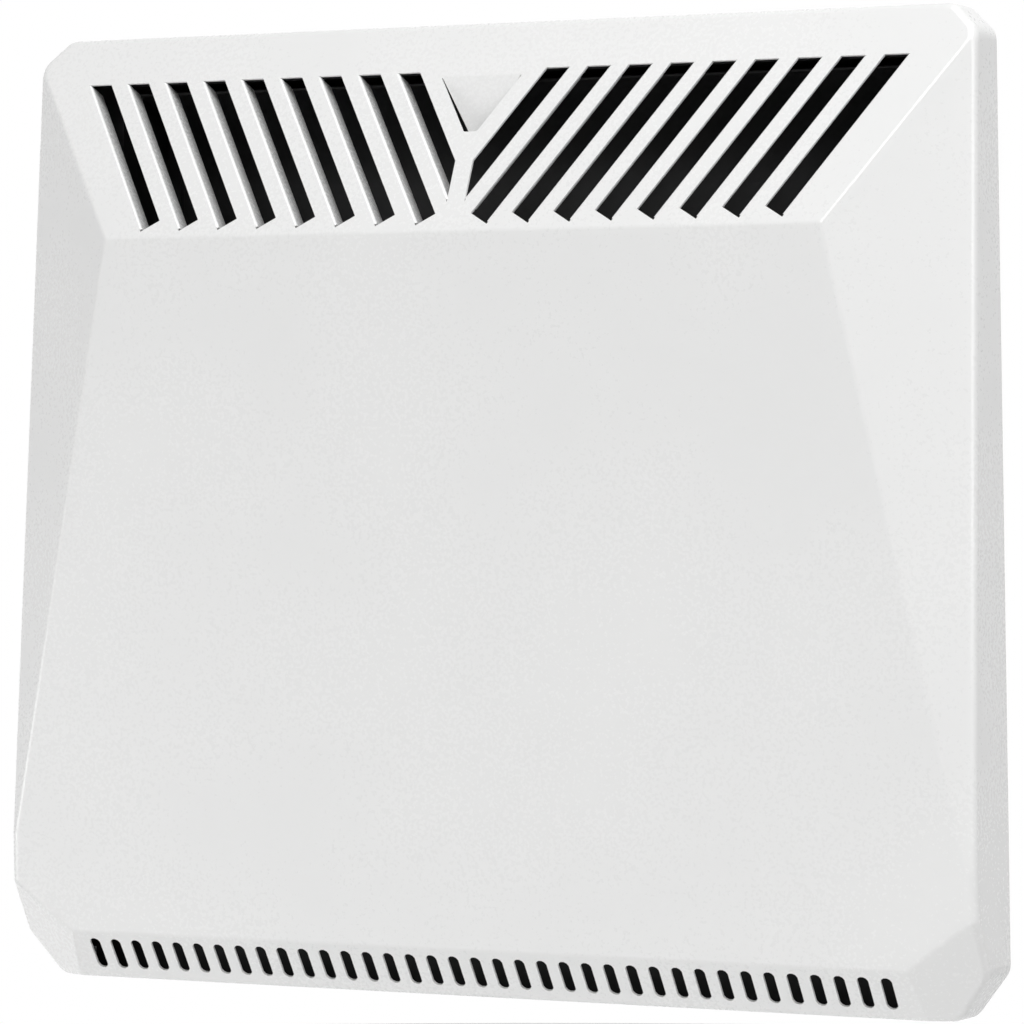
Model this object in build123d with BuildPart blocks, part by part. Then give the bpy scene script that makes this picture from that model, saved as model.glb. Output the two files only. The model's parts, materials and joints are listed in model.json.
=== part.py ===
from build123d import *
from math import atan2, cos, degrees, radians, sin, tan
import os

# Wall-hung convector heater. X runs to the viewer's right, Y into the wall, Z up.
# The origin lies on the wall, midway between the four screw holes of the wall bracket.

# Overall size
width = 460.0            # cover across its lower shoulders
top_width = 446.0        # cover along its upper edge
height = 413.4
depth = 112.0            # wall to foremost crease
cover_depth = 55.0       # cover's back edge to foremost crease

# Sheets and clearances
cover_sheet = 1.0
casing_sheet = 1.0
bracket_sheet = 1.5
shield_sheet = 0.8
seat_gap = 0.3           # between neighbours that rest on each other
running_gap = 0.05       # radial, where something turns
slip_gap = 0.2           # radial, where a screw or stud passes

# Cover facets, depths counted forwards from the cover's back edge
fold_drop = 89.8         # from the upper edge to the crease between the front and the louvred brow
fold_half = 169.3
toe_rise = 44.0          # from the lower edge to the lowest point of the side facets
toe_depth = 36.5
toe_land = 4.0           # stretch of side wall between side facet and corner facet
sill_rise = 21.0         # from the lower edge to the crease between the front and the sill
sill_half = 198.5
brow_edge_depth = 16.2   # at the upper edge
sill_edge_depth = 21.3   # at the lower edge
top_cut = 11.5           # bevel of the upper corners
corner_run = 15.0        # cut of the lower corners
corner_rise = 20.0
corner_depth = 22.5      # of the corner facets at the shoulders
outline_radius = 8.0
bend_radius = 4.0        # outside of every crease
lip_width = 10.0         # along the sides and the top
lip_gap_half = 208.0     # half of the lower edge, which has no lip behind the inlet slots

# Louvres of the brow, in the plane of the brow, heights counted up from the fold
louvre_count = 9         # each side
louvre_width = 10.0
louvre_length = 85.0     # along the outer edge
louvre_lean = 31.4       # degrees from upright
louvre_pitch = 19.3      # sideways
louvre_outer_x = 196.3   # outer top corner of the outermost louvre
louvre_top = 75.4
spine_half = 4.15        # half of the upright strip between the two halves
fin_bend = 1.2           # outside radius
fin_depth = 10.4
fin_relief = 1.2
tab_top = 72.2
tab_half = 19.0          # half width at its fold
tab_foot = 3.2           # half width at its free end
tab_corner = 2.0
tab_slit = 0.15
tab_angle = 14.0

# Inlet slots of the sill
sill_slot_count = 37
sill_slot_pitch = 10.48
sill_slot_width = 5.1
sill_slot_length = 16.0
sill_slot_drop = 11.6    # centre below the crease, along the sill
sill_slot_sides = 12     # of the polygon that rounds its ends

# Rear casing
casing_step = 35.0       # in from the cover's sides
casing_drop = 18.7       # down from the cover's upper edge
casing_lift = 20.7       # up from the cover's lower edge
casing_stand = 16.0      # wall to casing
casing_leg = 7.5         # of the wall profiles, on the back panel
flange_inset = 1.0       # from the cover's outline
back_vent_count = 15
back_vent_pitch = 12.0
back_vent_width = 4.0
back_vent_length = 22.0
back_vent_rise = 38.0    # above the casing's lower edge
base_vent_count = 23
base_vent_pitch = 11.0
base_vent_width = 5.0
base_vent_length = 26.0
base_vent_x = -16.0      # centre of the row
vent_sides = 8
rib_z = 60.0             # pressed stiffening ribs
rib_length = 150.0
rib_width = 11.0
rib_height = 2.5

# Wall bracket
strap_x = 110.0
strap_width = 28.0
strap_half = 125.0       # half height
rail_z = 60.0
rail_width = 24.0
flange_bevel = 6.0       # at the ends of the flanges
wall_screw_radius = 2.75
hook_z = 108.0           # upper face of the upper hooks' tongues
hook_drop = 198.0        # upper hooks to lower hooks
hook_width = 16.0
hook_lip = 8.0
hook_room = 1.2          # around the hooks, in the casing's slots
lift = 10.0              # travel that frees the hooks

# Screws
side_screw_z = (-165.0, -25.0, 115.0)  # cover screws along the sides
top_screw_x = 130.0
screw_inset = 6.0
screw_radius = 1.5
screw_head = 3.2
screw_head_height = 2.0
screw_length = 7.0

# Heating element
element_y = -54.0
element_rise = 86.0      # above the casing's lower edge
element_margin = 12.0    # from its ends to the brackets
element_hub = 7.5
element_arm = 30.0
element_arm_root = 3.4
element_arm_tip = 1.6
element_arm_angle = 32.0
element_rib_count = 3
element_rib_pitch = 7.0
element_rib_length = 7.0
element_rib_width = 1.3
rod_radius = 4.2
rod_reach = 10.0         # beyond the brackets' inner faces
bush_radius = 9.0
bush_collar = 12.0
bush_length = 14.0
terminal_radius = 2.0
terminal_length = 11.0
stay_step = 35.0         # from the casing's sides to the element brackets' inner faces
stay_sheet = 1.2
stay_width = 34.0
stay_foot = 15.0
stay_nose = 17.0         # beyond the rod's axis
stay_screw_spread = 20.0

# Heat shield and air guide
shield_step = 26.0       # in from the element brackets
shield_rise = 18.0       # above the casing's lower edge
shield_height = 202.0
shield_stand = 12.0
shield_foot = 10.0
shield_screw_z = 28.0    # from each end
guide_step = 9.0         # in from the casing's sides
guide_radius = 44.0
guide_drop = 69.0        # from the casing's upper edge to the guide's lower edge
guide_leg = 20.0
guide_screw_step = 36.0  # in from the guide's ends

# Control panel on the casing's right wall
panel_drop = 104.0       # from the casing's upper edge to the panel's middle
panel_length = 120.0
panel_width = 34.0
panel_sheet = 2.4
panel_corner = 4.0
panel_bevel = 0.8
panel_screw_inset = 3.6
housing_length = 104.0
housing_width = 28.0
housing_depth = 30.0
housing_wall = 1.8
knob_rise = 32.0         # above the panel's middle
knob_radius = 13.0
knob_length = 13.0
knob_draft = 3.0         # degrees
knob_sides = 24
knob_recess_radius = 9.0
knob_recess_depth = 4.0
pointer_width = 1.6
pointer_length = 7.0
pointer_reach = 11.0     # of its outer end from the axis
knob_rest = 135.0        # degrees from upright to the pointer
spindle_radius = 3.0
spindle_inside = 12.0    # below the panel's face
spindle_outside = 11.0
thermostat_side = 23.0
thermostat_depth = 18.0
thermostat_bush = 5.0
nut_size = 12.0          # across flats
nut_height = 2.0
rocker_drops = (8.0, 34.0)  # below the panel's middle
rocker_length = 15.2
rocker_width = 9.6
rocker_rise = 4.4        # pivot to the ends of the face
rocker_dip = 1.2         # of the face at its middle
rocker_keel = 2.5        # below the pivot
rocker_tilt = 9.0        # degrees either side
rocker_pin_radius = 1.0
rocker_pin_reach = 0.9
switch_bezel_length = 21.0
switch_bezel_width = 14.6
switch_bezel_height = 1.6
switch_length = 19.0
switch_width = 12.6
switch_depth = 15.0
switch_room = 0.3        # around the rocker's sides
rocker_swing = 0.8       # around the rocker's ends
tab_terminal = (6.3, 0.8, 7.0)
pilot_rise = 12.5
pilot_radius = 2.4
pilot_length = 12.0

# Small electrical pieces
cutout_x = 30.0
cutout_z = 8.0
cutout_radius = 8.0
cutout_height = 6.0
cutout_stand = 8.0
cutout_strap = 14.0
cutout_span = 24.0
tilt_step = 19.0         # in from the casing's side
tilt_z = 4.0
tilt_size = (20.0, 15.0, 30.0)
block_step = 25.0        # in from the casing's side
block_rise = 28.0        # above the casing's lower edge
block_size = (28.0, 15.0, 18.0)
block_poles = 3
block_pitch = 9.0
gland_bore = 3.6
gland_radius = 6.0
gland_flange = 8.5
gland_flange_height = 2.0
gland_nut = 9.0          # across its corners, halved
gland_nut_height = 3.0
gland_length = 12.0
earth_step = 14.0        # in from the casing's side
earth_rise = 54.0        # above the casing's lower edge
washer_radius = 4.5
washer_height = 1.0

# Wall spacers
spacer_step = 45.0       # in from the casing's sides
spacer_rise = 21.0       # above the casing's lower edge
spacer_side = 20.0
spacer_bevel = 1.5
spacer_stem = 2.4
spacer_bulb = 3.6

# Derived places
half = width / 2
top_half = top_width / 2
top_z = height / 2
bottom_z = -height / 2
back_y = cover_depth - depth
fold_z = top_z - fold_drop
toe_z = bottom_z + toe_rise
sill_z = bottom_z + sill_rise
shoulder_z = bottom_z + corner_rise
brow_z = top_z - top_cut
casing_half = half - casing_step
flange_reach = max(half, top_half)
casing_top = top_z - casing_drop
casing_bottom = bottom_z + casing_lift
casing_y = -casing_stand
flange_y = back_y + seat_gap
panel_y = (casing_y + back_y) / 2
panel_back_y = casing_y - casing_sheet
shelf_y = panel_back_y - seat_gap
hook_reach = casing_stand + casing_sheet + seat_gap + bracket_sheet
hook_places = [(x, z) for x in (-strap_x, strap_x) for z in (hook_z, hook_z - hook_drop)]
back_vent_z = casing_bottom + back_vent_rise
element_z = casing_bottom + element_rise
stay_x = casing_half - stay_step
element_half = stay_x - element_margin
rod_end = stay_x + rod_reach
shield_half = stay_x - shield_step
shield_bottom = casing_bottom + shield_rise
shield_top = shield_bottom + shield_height
shield_y = shelf_y - shield_stand
guide_half = casing_half - guide_step
guide_start_z = casing_top - guide_drop
panel_z = casing_top - panel_drop
knob_z = panel_z + knob_rise
rocker_z = [panel_z - drop for drop in rocker_drops]
pilot_z = panel_z + pilot_rise
tilt_x = casing_half - tilt_step
block_x = casing_half - block_step
block_z = casing_bottom + block_rise
gland_x = block_x
earth_x = casing_half - earth_step
earth_z = casing_bottom + earth_rise
spacer_x = casing_half - spacer_step
spacer_z = casing_bottom + spacer_rise
panel_in_x = casing_half + seat_gap
panel_out_x = panel_in_x + panel_sheet
bezel_x = panel_out_x + seat_gap + switch_bezel_height
rocker_x = bezel_x + seat_gap - (
    rocker_rise * cos(radians(rocker_tilt)) - rocker_length / 2 * sin(radians(rocker_tilt))
)


def front_depth(z):
    return cover_depth - (cover_depth - toe_depth) * (fold_z - z) / (fold_z - toe_z)


def brow_depth(z):
    return cover_depth - (cover_depth - brow_edge_depth) * (z - fold_z) / (top_z - fold_z)


def side_half(z):
    return half - (half - top_half) * (z - shoulder_z) / (top_z - shoulder_z)


def on_cover(x, forward, z):
    return Vector(x, back_y - forward, z)


def facet(a, b, c):
    """Plane through three points of the cover's skin, facing outwards."""
    normal = (b - a).cross(c - a).normalized()
    if normal.Y > 0:
        normal = -normal
    return Plane(origin=(a + b + c) / 3, z_dir=normal)


def mirrored(plane):
    origin, normal = plane.origin, plane.z_dir
    return Plane(origin=(-origin.X, origin.Y, origin.Z), z_dir=(-normal.X, normal.Y, normal.Z))


# Planes of the seven facets
fold = on_cover(fold_half, cover_depth, fold_z)
brow_corner = on_cover(side_half(brow_z), brow_depth(brow_z), brow_z)
side_toe = on_cover(side_half(toe_z + toe_land), front_depth(toe_z + toe_land), toe_z + toe_land)
toe = on_cover(side_half(toe_z), front_depth(toe_z), toe_z)
sill = on_cover(sill_half, front_depth(sill_z), sill_z)
shoulder = on_cover(half, corner_depth, shoulder_z)
side_facet = facet(fold, brow_corner, side_toe)
corner_facet = facet(toe, sill, shoulder)
brow_rise = degrees(atan2(cover_depth - brow_edge_depth, top_z - fold_z))
sill_slope = degrees(atan2(front_depth(sill_z) - sill_edge_depth, sill_z - bottom_z))
brow_plane = Plane(
    origin=on_cover(0, cover_depth, fold_z), x_dir=(1, 0, 0),
    z_dir=(0, -cos(radians(brow_rise)), sin(radians(brow_rise))),
)
sill_plane = Plane(
    origin=on_cover(0, front_depth(sill_z), sill_z), x_dir=(1, 0, 0),
    z_dir=(0, -cos(radians(sill_slope)), -sin(radians(sill_slope))),
)
front_facet = facet(on_cover(0, cover_depth, fold_z), fold, on_cover(0, front_depth(sill_z), sill_z))
cover_facets = [
    front_facet, brow_plane, sill_plane,
    side_facet, mirrored(side_facet), corner_facet, mirrored(corner_facet),
]


def xz_plane(y):
    """Upright plane parallel to the wall, facing forwards."""
    return Plane.XZ.offset(-y)


def outline(inset):
    """The cover's outline seen from the front, drawn in by inset."""
    corners = [
        (top_half - top_cut, top_z), (side_half(brow_z), brow_z),
        (half, shoulder_z), (half - corner_run, bottom_z),
    ]
    corners += [(-x, z) for x, z in reversed(corners)]
    with BuildSketch() as face:
        with BuildLine():
            Polyline(*corners, close=True)
        make_face()
        fillet(face.vertices(), radius=outline_radius)
        if inset:
            offset(amount=-inset, mode=Mode.REPLACE)
    return face.sketch


def faceted_form(inset):
    """Solid inside the cover's skin, drawn in by inset on every side."""
    with BuildPart() as form:
        with BuildSketch(xz_plane(back_y - inset)):
            add(outline(inset))
        extrude(amount=cover_depth)
        for plane in cover_facets:
            split(bisect_by=plane.offset(-inset), keep=Keep.BOTTOM)
        front_y = back_y - inset - cover_sheet / 2
        creases = form.edges().filter_by(lambda edge: max(v.Y for v in edge.vertices()) < front_y)
        fillet(creases, radius=bend_radius - inset)
    return form.part


def slot(length, width, sides):
    """Upright slot with ends of half a polygon, which keeps rows of slots light."""
    with BuildSketch() as shape:
        with Locations((0, (width - length) / 2), (0, (length - width) / 2)):
            RegularPolygon(width / 2, sides, major_radius=False, rotation=180 / sides)
        Rectangle(width, length - width)
    return shape.sketch


def lip_screw_places():
    """Screws through the lip, as X and Z."""
    places = [(side_half(z) - screw_inset, z) for z in side_screw_z]
    places.append((top_screw_x, top_z - screw_inset))
    return [(side * x, z) for side in (1, -1) for x, z in places]


# Front cover
lean = radians(louvre_lean)
edge_up = Vector(sin(lean), cos(lean))
edge_in = Vector(-cos(lean), sin(lean))
louvre_tops = [louvre_outer_x - index * louvre_pitch for index in range(louvre_count)]


def edge_length(top_x):
    """Length of a louvre's outer edge, which the upright spine may cut short."""
    return min(louvre_length, (top_x - spine_half) / sin(lean))


outer_skin = faceted_form(0)
inner_skin = faceted_form(cover_sheet)

with BuildPart() as fins:
    for top_x in louvre_tops:
        length = edge_length(top_x)
        foot = Vector(top_x, louvre_top) - edge_up * (length - fin_relief)
        section_plane = Plane(
            origin=brow_plane.from_local_coords(foot),
            x_dir=brow_plane.from_local_coords(foot + edge_in) - brow_plane.from_local_coords(foot),
            z_dir=brow_plane.from_local_coords(foot + edge_up) - brow_plane.from_local_coords(foot),
        )
        side = 1 if section_plane.y_dir.dot(brow_plane.z_dir) > 0 else -1
        inside_bend = fin_bend - cover_sheet
        with BuildSketch(section_plane):
            with BuildLine():
                Polyline((-cover_sheet, -side * cover_sheet), (-cover_sheet, 0), (0, 0))
                TangentArc((0, 0), (fin_bend, -side * fin_bend), tangent=(1, 0))
                Polyline(
                    (fin_bend, -side * fin_bend), (fin_bend, -side * fin_depth),
                    (inside_bend, -side * fin_depth), (inside_bend, -side * fin_bend),
                )
                TangentArc(
                    (inside_bend, -side * fin_bend), (0, -side * cover_sheet), tangent=(0, side),
                )
                Line((0, -side * cover_sheet), (-cover_sheet, -side * cover_sheet))
            make_face()
        extrude(amount=length + fin_depth)
    split(bisect_by=Plane(
        origin=brow_plane.from_local_coords((0, louvre_top)), z_dir=brow_plane.y_dir,
    ), keep=Keep.BOTTOM)
    mirror(about=Plane.YZ)

with BuildPart() as front_cover:
    add(outer_skin)
    add(inner_skin, mode=Mode.SUBTRACT)
    with BuildSketch(xz_plane(back_y)):
        add(outline(cover_sheet))
        with Locations((0, bottom_z)):
            Rectangle(2 * lip_gap_half, 2 * (cover_sheet + lip_width), mode=Mode.INTERSECT)
        add(outline(cover_sheet + lip_width))
    extrude(amount=cover_sheet, mode=Mode.SUBTRACT)
    with BuildSketch(xz_plane(back_y)):
        with Locations(*lip_screw_places()):
            Circle(screw_radius + slip_gap)
    extrude(amount=cover_sheet, mode=Mode.SUBTRACT)
    with BuildSketch(brow_plane) as louvres:
        for top_x in louvre_tops:
            top_outer = Vector(top_x, louvre_top)
            foot_outer = top_outer - edge_up * louvre_length
            foot_inner = foot_outer + edge_in * louvre_width
            top_inner = top_outer - Vector(louvre_width / cos(lean), 0)
            Polygon(
                (top_outer.X, top_outer.Y), (top_inner.X, top_inner.Y),
                (foot_inner.X, foot_inner.Y), (foot_outer.X, foot_outer.Y), align=None,
            )
        with Locations((0, louvre_top / 2)):
            Rectangle(2 * spine_half, 2 * louvre_top, mode=Mode.SUBTRACT)
        far_side = louvres.faces().filter_by(lambda face: face.center().X < 0)
        if far_side:
            add(far_side, mode=Mode.SUBTRACT)
        mirror(about=Plane.YZ)
    extrude(amount=-fin_depth, mode=Mode.SUBTRACT)
    tab_drop = (tab_half - tab_foot) / tan(lean)
    with BuildSketch(brow_plane) as window:
        with Locations((0, tab_top - tab_drop / 2)):
            Polygon(
                (-tab_half, tab_drop / 2), (tab_half, tab_drop / 2),
                (tab_foot, -tab_drop / 2), (-tab_foot, -tab_drop / 2), align=None,
            )
        fillet(window.vertices().group_by(Axis.Y)[0], radius=tab_corner)
    extrude(amount=-2 * cover_sheet, mode=Mode.SUBTRACT)
    tab_plane = Plane(
        origin=brow_plane.from_local_coords((0, tab_top)), x_dir=(1, 0, 0), z_dir=brow_plane.z_dir,
    ).rotated((tab_angle, 0, 0))
    with BuildSketch(tab_plane) as tab:
        with Locations((0, -tab_drop / 2 + cover_sheet / 2)):
            Polygon(
                (-tab_half + tab_slit, tab_drop / 2), (tab_half - tab_slit, tab_drop / 2),
                (tab_foot - tab_slit, -tab_drop / 2), (-tab_foot + tab_slit, -tab_drop / 2), align=None,
            )
        fillet(tab.vertices().group_by(Axis.Y)[0], radius=tab_corner)
    extrude(amount=-cover_sheet)
    with BuildSketch(sill_plane):
        with Locations((0, -sill_slot_drop)):
            with GridLocations(sill_slot_pitch, 0, sill_slot_count, 1):
                add(slot(sill_slot_length, sill_slot_width, sill_slot_sides))
    extrude(amount=-3 * cover_sheet, mode=Mode.SUBTRACT)
    add(fins.part)
front_cover.part.label = "front_cover"


def screws(places):
    """Hexagon-head screws, each with its head's seat on a plane and its point along the normal."""
    with BuildPart() as group:
        for seat in places:
            with BuildSketch(seat):
                Circle(screw_radius)
            extrude(amount=screw_length)
            with BuildSketch(seat.offset(-screw_head_height)):
                RegularPolygon(screw_head, 6)
            extrude(amount=screw_head_height)
    return group


# Rear casing: a back panel and four folded walls, whose flanges close the back of the cover
stay_screw_places = [
    (side * (stay_x + stay_foot / 2 + stay_sheet), element_z + up)
    for side in (-1, 1) for up in (-stay_screw_spread / 2, stay_screw_spread / 2)
]
shield_screw_places = [
    (side * (shield_half + shield_foot / 2), z)
    for side in (-1, 1) for z in (shield_bottom + shield_screw_z, shield_top - shield_screw_z)
]
guide_screw_places = [
    (side * (guide_half - guide_screw_step), guide_start_z + guide_leg / 2) for side in (-1, 1)
]

casing_height = casing_top - casing_bottom
casing_middle = (casing_top + casing_bottom) / 2

with BuildPart() as rear_panel:
    with BuildSketch(xz_plane(casing_y)):
        with Locations((0, casing_middle)):
            Rectangle(2 * casing_half, casing_height)
    extrude(amount=casing_sheet)
    with BuildSketch(xz_plane(panel_back_y)):
        with Locations((0, -rib_z), (0, rib_z)):
            SlotOverall(rib_length, rib_width)
    extrude(amount=rib_height)
    with BuildSketch(xz_plane(casing_y)):
        with Locations((0, -rib_z), (0, rib_z)):
            SlotOverall(rib_length - 2 * casing_sheet, rib_width - 2 * casing_sheet)
    extrude(amount=rib_height, mode=Mode.SUBTRACT)
    with BuildSketch(xz_plane(casing_y)):
        for x, z in hook_places:
            slot_top = z + seat_gap
            slot_height = seat_gap + bracket_sheet + lift + hook_room
            with Locations((x, slot_top - slot_height / 2)):
                Rectangle(hook_width + 2 * hook_room, slot_height)
        with Locations((0, back_vent_z)):
            with GridLocations(back_vent_pitch, 0, back_vent_count, 1):
                add(slot(back_vent_length, back_vent_width, vent_sides))
        with Locations(*stay_screw_places, *shield_screw_places, *guide_screw_places, (earth_x, earth_z)):
            Circle(screw_radius + slip_gap)
        with Locations((-spacer_x, spacer_z), (spacer_x, spacer_z)):
            Circle(spacer_stem + slip_gap)
    extrude(amount=casing_sheet, mode=Mode.SUBTRACT)
rear_panel.part.label = "rear_panel"


def flange(low_x, high_x, low_z, high_z):
    """Stretch of the flange behind the cover's lip, with its screw holes."""
    with BuildSketch() as shape:
        add(outline(flange_inset))
        with Locations(*lip_screw_places()):
            Circle(screw_radius + slip_gap, mode=Mode.SUBTRACT)
        with Locations(((low_x + high_x) / 2, (low_z + high_z) / 2)):
            Rectangle(high_x - low_x, high_z - low_z, mode=Mode.INTERSECT)
    return shape.sketch


def profile(base, height, length, leg_length):
    """Folded profile along the local X: a leg on the back panel and a wall that stands at y = 0."""
    with BuildPart() as bent:
        with BuildSketch(base):
            with Locations((0, casing_leg / 2)):
                Rectangle(leg_length, casing_leg)
        extrude(amount=casing_sheet)
        with BuildSketch(base):
            with Locations((0, casing_sheet / 2)):
                Rectangle(length, casing_sheet)
        extrude(amount=height)
    return bent.part


leg_y = panel_back_y - seat_gap
wall_height = leg_y - flange_y
side_length = casing_height - 2 * (casing_sheet + seat_gap)
side_inset = casing_half - casing_sheet
short_leg = 2 * (casing_half - casing_leg - seat_gap)

with BuildPart() as casing_top_wall:
    base = Plane(origin=(0, leg_y, casing_top), x_dir=(-1, 0, 0), z_dir=(0, -1, 0))
    add(profile(base, wall_height, 2 * casing_half, short_leg))
    with BuildSketch(xz_plane(flange_y)):
        add(flange(-flange_reach, flange_reach, casing_top - casing_sheet, top_z))
    extrude(amount=-casing_sheet)
casing_top_wall.part.label = "casing_top_wall"

with BuildPart() as casing_bottom_wall:
    base = Plane(origin=(0, leg_y, casing_bottom), x_dir=(1, 0, 0), z_dir=(0, -1, 0))
    add(profile(base, wall_height, 2 * casing_half, short_leg))
    with BuildSketch(xz_plane(flange_y)):
        add(flange(-flange_reach, flange_reach, bottom_z, casing_bottom + casing_sheet))
    extrude(amount=-casing_sheet)
    with BuildSketch(Plane.XY.offset(casing_bottom)):
        with Locations((base_vent_x, panel_y)):
            with GridLocations(base_vent_pitch, 0, base_vent_count, 1):
                add(slot(base_vent_length, base_vent_width, vent_sides))
        with Locations((gland_x, panel_y)):
            Circle(gland_radius + slip_gap)
    extrude(amount=casing_sheet, mode=Mode.SUBTRACT)
casing_bottom_wall.part.label = "casing_bottom_wall"

with BuildPart() as casing_left_wall:
    base = Plane(origin=(-casing_half, leg_y, casing_middle), x_dir=(0, 0, -1), z_dir=(0, -1, 0))
    add(profile(base, wall_height, side_length, side_length))
    with BuildSketch(xz_plane(flange_y)):
        add(flange(
            -flange_reach, -side_inset, casing_middle - side_length / 2, casing_middle + side_length / 2,
        ))
    extrude(amount=-casing_sheet)
casing_left_wall.part.label = "casing_left_wall"

with BuildPart() as casing_right_wall:
    mirror(casing_left_wall.part, about=Plane.YZ)
    with BuildSketch(Plane.YZ.offset(casing_half)):
        with Locations((panel_y, panel_z)):
            Rectangle(housing_width + 2 * slip_gap, housing_length + 2 * slip_gap)
        for end in (-1, 1):
            with Locations((panel_y, panel_z + end * (panel_length / 2 - panel_screw_inset))):
                Circle(screw_radius + slip_gap)
    extrude(amount=-casing_sheet, mode=Mode.SUBTRACT)
casing_right_wall.part.label = "casing_right_wall"

# Wall bracket: two straps joined by two rails, with hooks lanced out of the straps
with BuildPart() as wall_bracket:
    with BuildSketch(xz_plane(0)):
        with Locations((-strap_x, 0), (strap_x, 0)):
            Rectangle(strap_width, 2 * strap_half)
        with Locations((0, -rail_z), (0, rail_z)):
            Rectangle(2 * strap_x, rail_width)
    extrude(amount=bracket_sheet)
    with BuildSketch(xz_plane(0)):
        flange_x = strap_x + strap_width / 2 - bracket_sheet / 2
        inner_flange_x = strap_x - strap_width / 2 + bracket_sheet / 2
        with Locations((-flange_x, 0), (flange_x, 0)):
            Rectangle(bracket_sheet, 2 * strap_half)
        with Locations((-inner_flange_x, 0), (inner_flange_x, 0)):
            Rectangle(bracket_sheet, 2 * rail_z - rail_width)
    extrude(amount=casing_stand - seat_gap)
    flange_ends = wall_bracket.edges().filter_by(Axis.X).group_by(Axis.Y)[0]
    chamfer(flange_ends, length=flange_bevel)
    with BuildSketch(xz_plane(0)):
        window_height = hook_reach + hook_lip
        for x, z in hook_places:
            with Locations((x, z - bracket_sheet - window_height / 2)):
                Rectangle(hook_width, window_height)
        with Locations(*[(x, z) for x in (-strap_x, strap_x) for z in (-rail_z, rail_z)]):
            Circle(wall_screw_radius)
    extrude(amount=bracket_sheet, mode=Mode.SUBTRACT)
    for x, z in hook_places:
        with BuildSketch(Plane.YZ.offset(x - hook_width / 2)):
            with BuildLine():
                Polyline(
                    (0, z), (-hook_reach + bracket_sheet, z), (-hook_reach + bracket_sheet, z + hook_lip),
                    (-hook_reach, z + hook_lip), (-hook_reach, z - bracket_sheet), (0, z - bracket_sheet),
                    close=True,
                )
            make_face()
        extrude(amount=hook_width)
wall_bracket.part.label = "wall_bracket"

cover_screws = screws([Plane(origin=(x, flange_y + casing_sheet + seat_gap, z), z_dir=(0, -1, 0))
                       for x, z in lip_screw_places()])
cover_screws.part.label = "cover_screws"

# Heating element: an X-shaped finned bar on a rod, held by two ceramic bushes
with BuildPart() as heating_element:
    with BuildSketch(Plane.YZ.offset(-element_half)):
        with Locations((element_y, element_z)):
            Circle(element_hub)
            for quarter in (90 - element_arm_angle, 90 + element_arm_angle):
                for turn in (quarter, quarter + 180):
                    with Locations(Rotation(0, 0, turn)):
                        Polygon(
                            (0, -element_arm_root / 2), (element_arm, -element_arm_tip / 2),
                            (element_arm, element_arm_tip / 2), (0, element_arm_root / 2), align=None,
                        )
                        for rib in range(element_rib_count):
                            with Locations((element_arm - (rib + 0.5) * element_rib_pitch, 0)):
                                Rectangle(element_rib_width, element_rib_length)
        with Locations((element_y, element_z)):
            Circle(rod_radius + running_gap, mode=Mode.SUBTRACT)
    extrude(amount=2 * element_half)
heating_element.part.label = "heating_element"

with BuildPart() as heating_rod:
    with BuildSketch(Plane.YZ.offset(-rod_end)):
        with Locations((element_y, element_z)):
            Circle(rod_radius)
    extrude(amount=2 * rod_end)
heating_rod.part.label = "heating_rod"

with BuildPart() as rod_terminals:
    with BuildSketch(Plane.YZ.offset(rod_end + seat_gap)):
        with Locations((element_y, element_z)):
            Circle(terminal_radius)
    extrude(amount=terminal_length)
    mirror(about=Plane.YZ)
rod_terminals.part.label = "rod_terminals"

with BuildPart() as element_bushes:
    collar_in = (bush_length - stay_sheet) / 2
    with BuildSketch(Plane.YZ.offset(stay_x - collar_in)):
        with Locations((element_y, element_z)):
            Circle(bush_radius)
            Circle(rod_radius + slip_gap, mode=Mode.SUBTRACT)
    extrude(amount=bush_length)
    with BuildSketch(Plane.YZ.offset(stay_x - collar_in)):
        with Locations((element_y, element_z)):
            Circle(bush_collar)
            Circle(rod_radius + slip_gap, mode=Mode.SUBTRACT)
    extrude(amount=collar_in - seat_gap)
    mirror(about=Plane.YZ)
element_bushes.part.label = "element_bushes"


def element_bracket(side):
    """Bent plate that carries one end of the rod; side is 1 on the right and -1 on the left."""
    with BuildPart() as bracket:
        with BuildSketch(Plane.YZ.offset(side * stay_x)):
            nose_y = element_y - stay_nose
            with Locations(((shelf_y + nose_y) / 2, element_z)):
                Rectangle(shelf_y - nose_y, stay_width)
            with Locations((element_y, element_z)):
                Circle(bush_radius + slip_gap, mode=Mode.SUBTRACT)
        extrude(amount=side * stay_sheet)
        with BuildSketch(xz_plane(shelf_y)):
            with Locations((side * (stay_x + stay_foot / 2), element_z)):
                Rectangle(stay_foot, stay_width)
            with Locations(*[place for place in stay_screw_places if place[0] * side > 0]):
                Circle(screw_radius + slip_gap, mode=Mode.SUBTRACT)
        extrude(amount=stay_sheet)
    return bracket


element_bracket_left = element_bracket(-1)
element_bracket_left.part.label = "element_bracket_left"
element_bracket_right = element_bracket(1)
element_bracket_right.part.label = "element_bracket_right"

# Heat shield: a hat section that stands off the casing's back
with BuildPart() as heat_shield:
    with BuildSketch(Plane.XY.offset(shield_bottom)):
        with BuildLine():
            Polyline(
                (-shield_half - shield_foot, shelf_y), (-shield_half, shelf_y), (-shield_half, shield_y),
                (shield_half, shield_y), (shield_half, shelf_y), (shield_half + shield_foot, shelf_y),
            )
            offset(amount=shield_sheet, side=Side.RIGHT, kind=Kind.INTERSECTION)
        make_face()
    extrude(amount=shield_top - shield_bottom)
    with BuildSketch(xz_plane(shelf_y)):
        with Locations(*shield_screw_places):
            Circle(screw_radius + slip_gap)
    extrude(amount=shield_sheet, mode=Mode.SUBTRACT)
heat_shield.part.label = "heat_shield"

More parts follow.
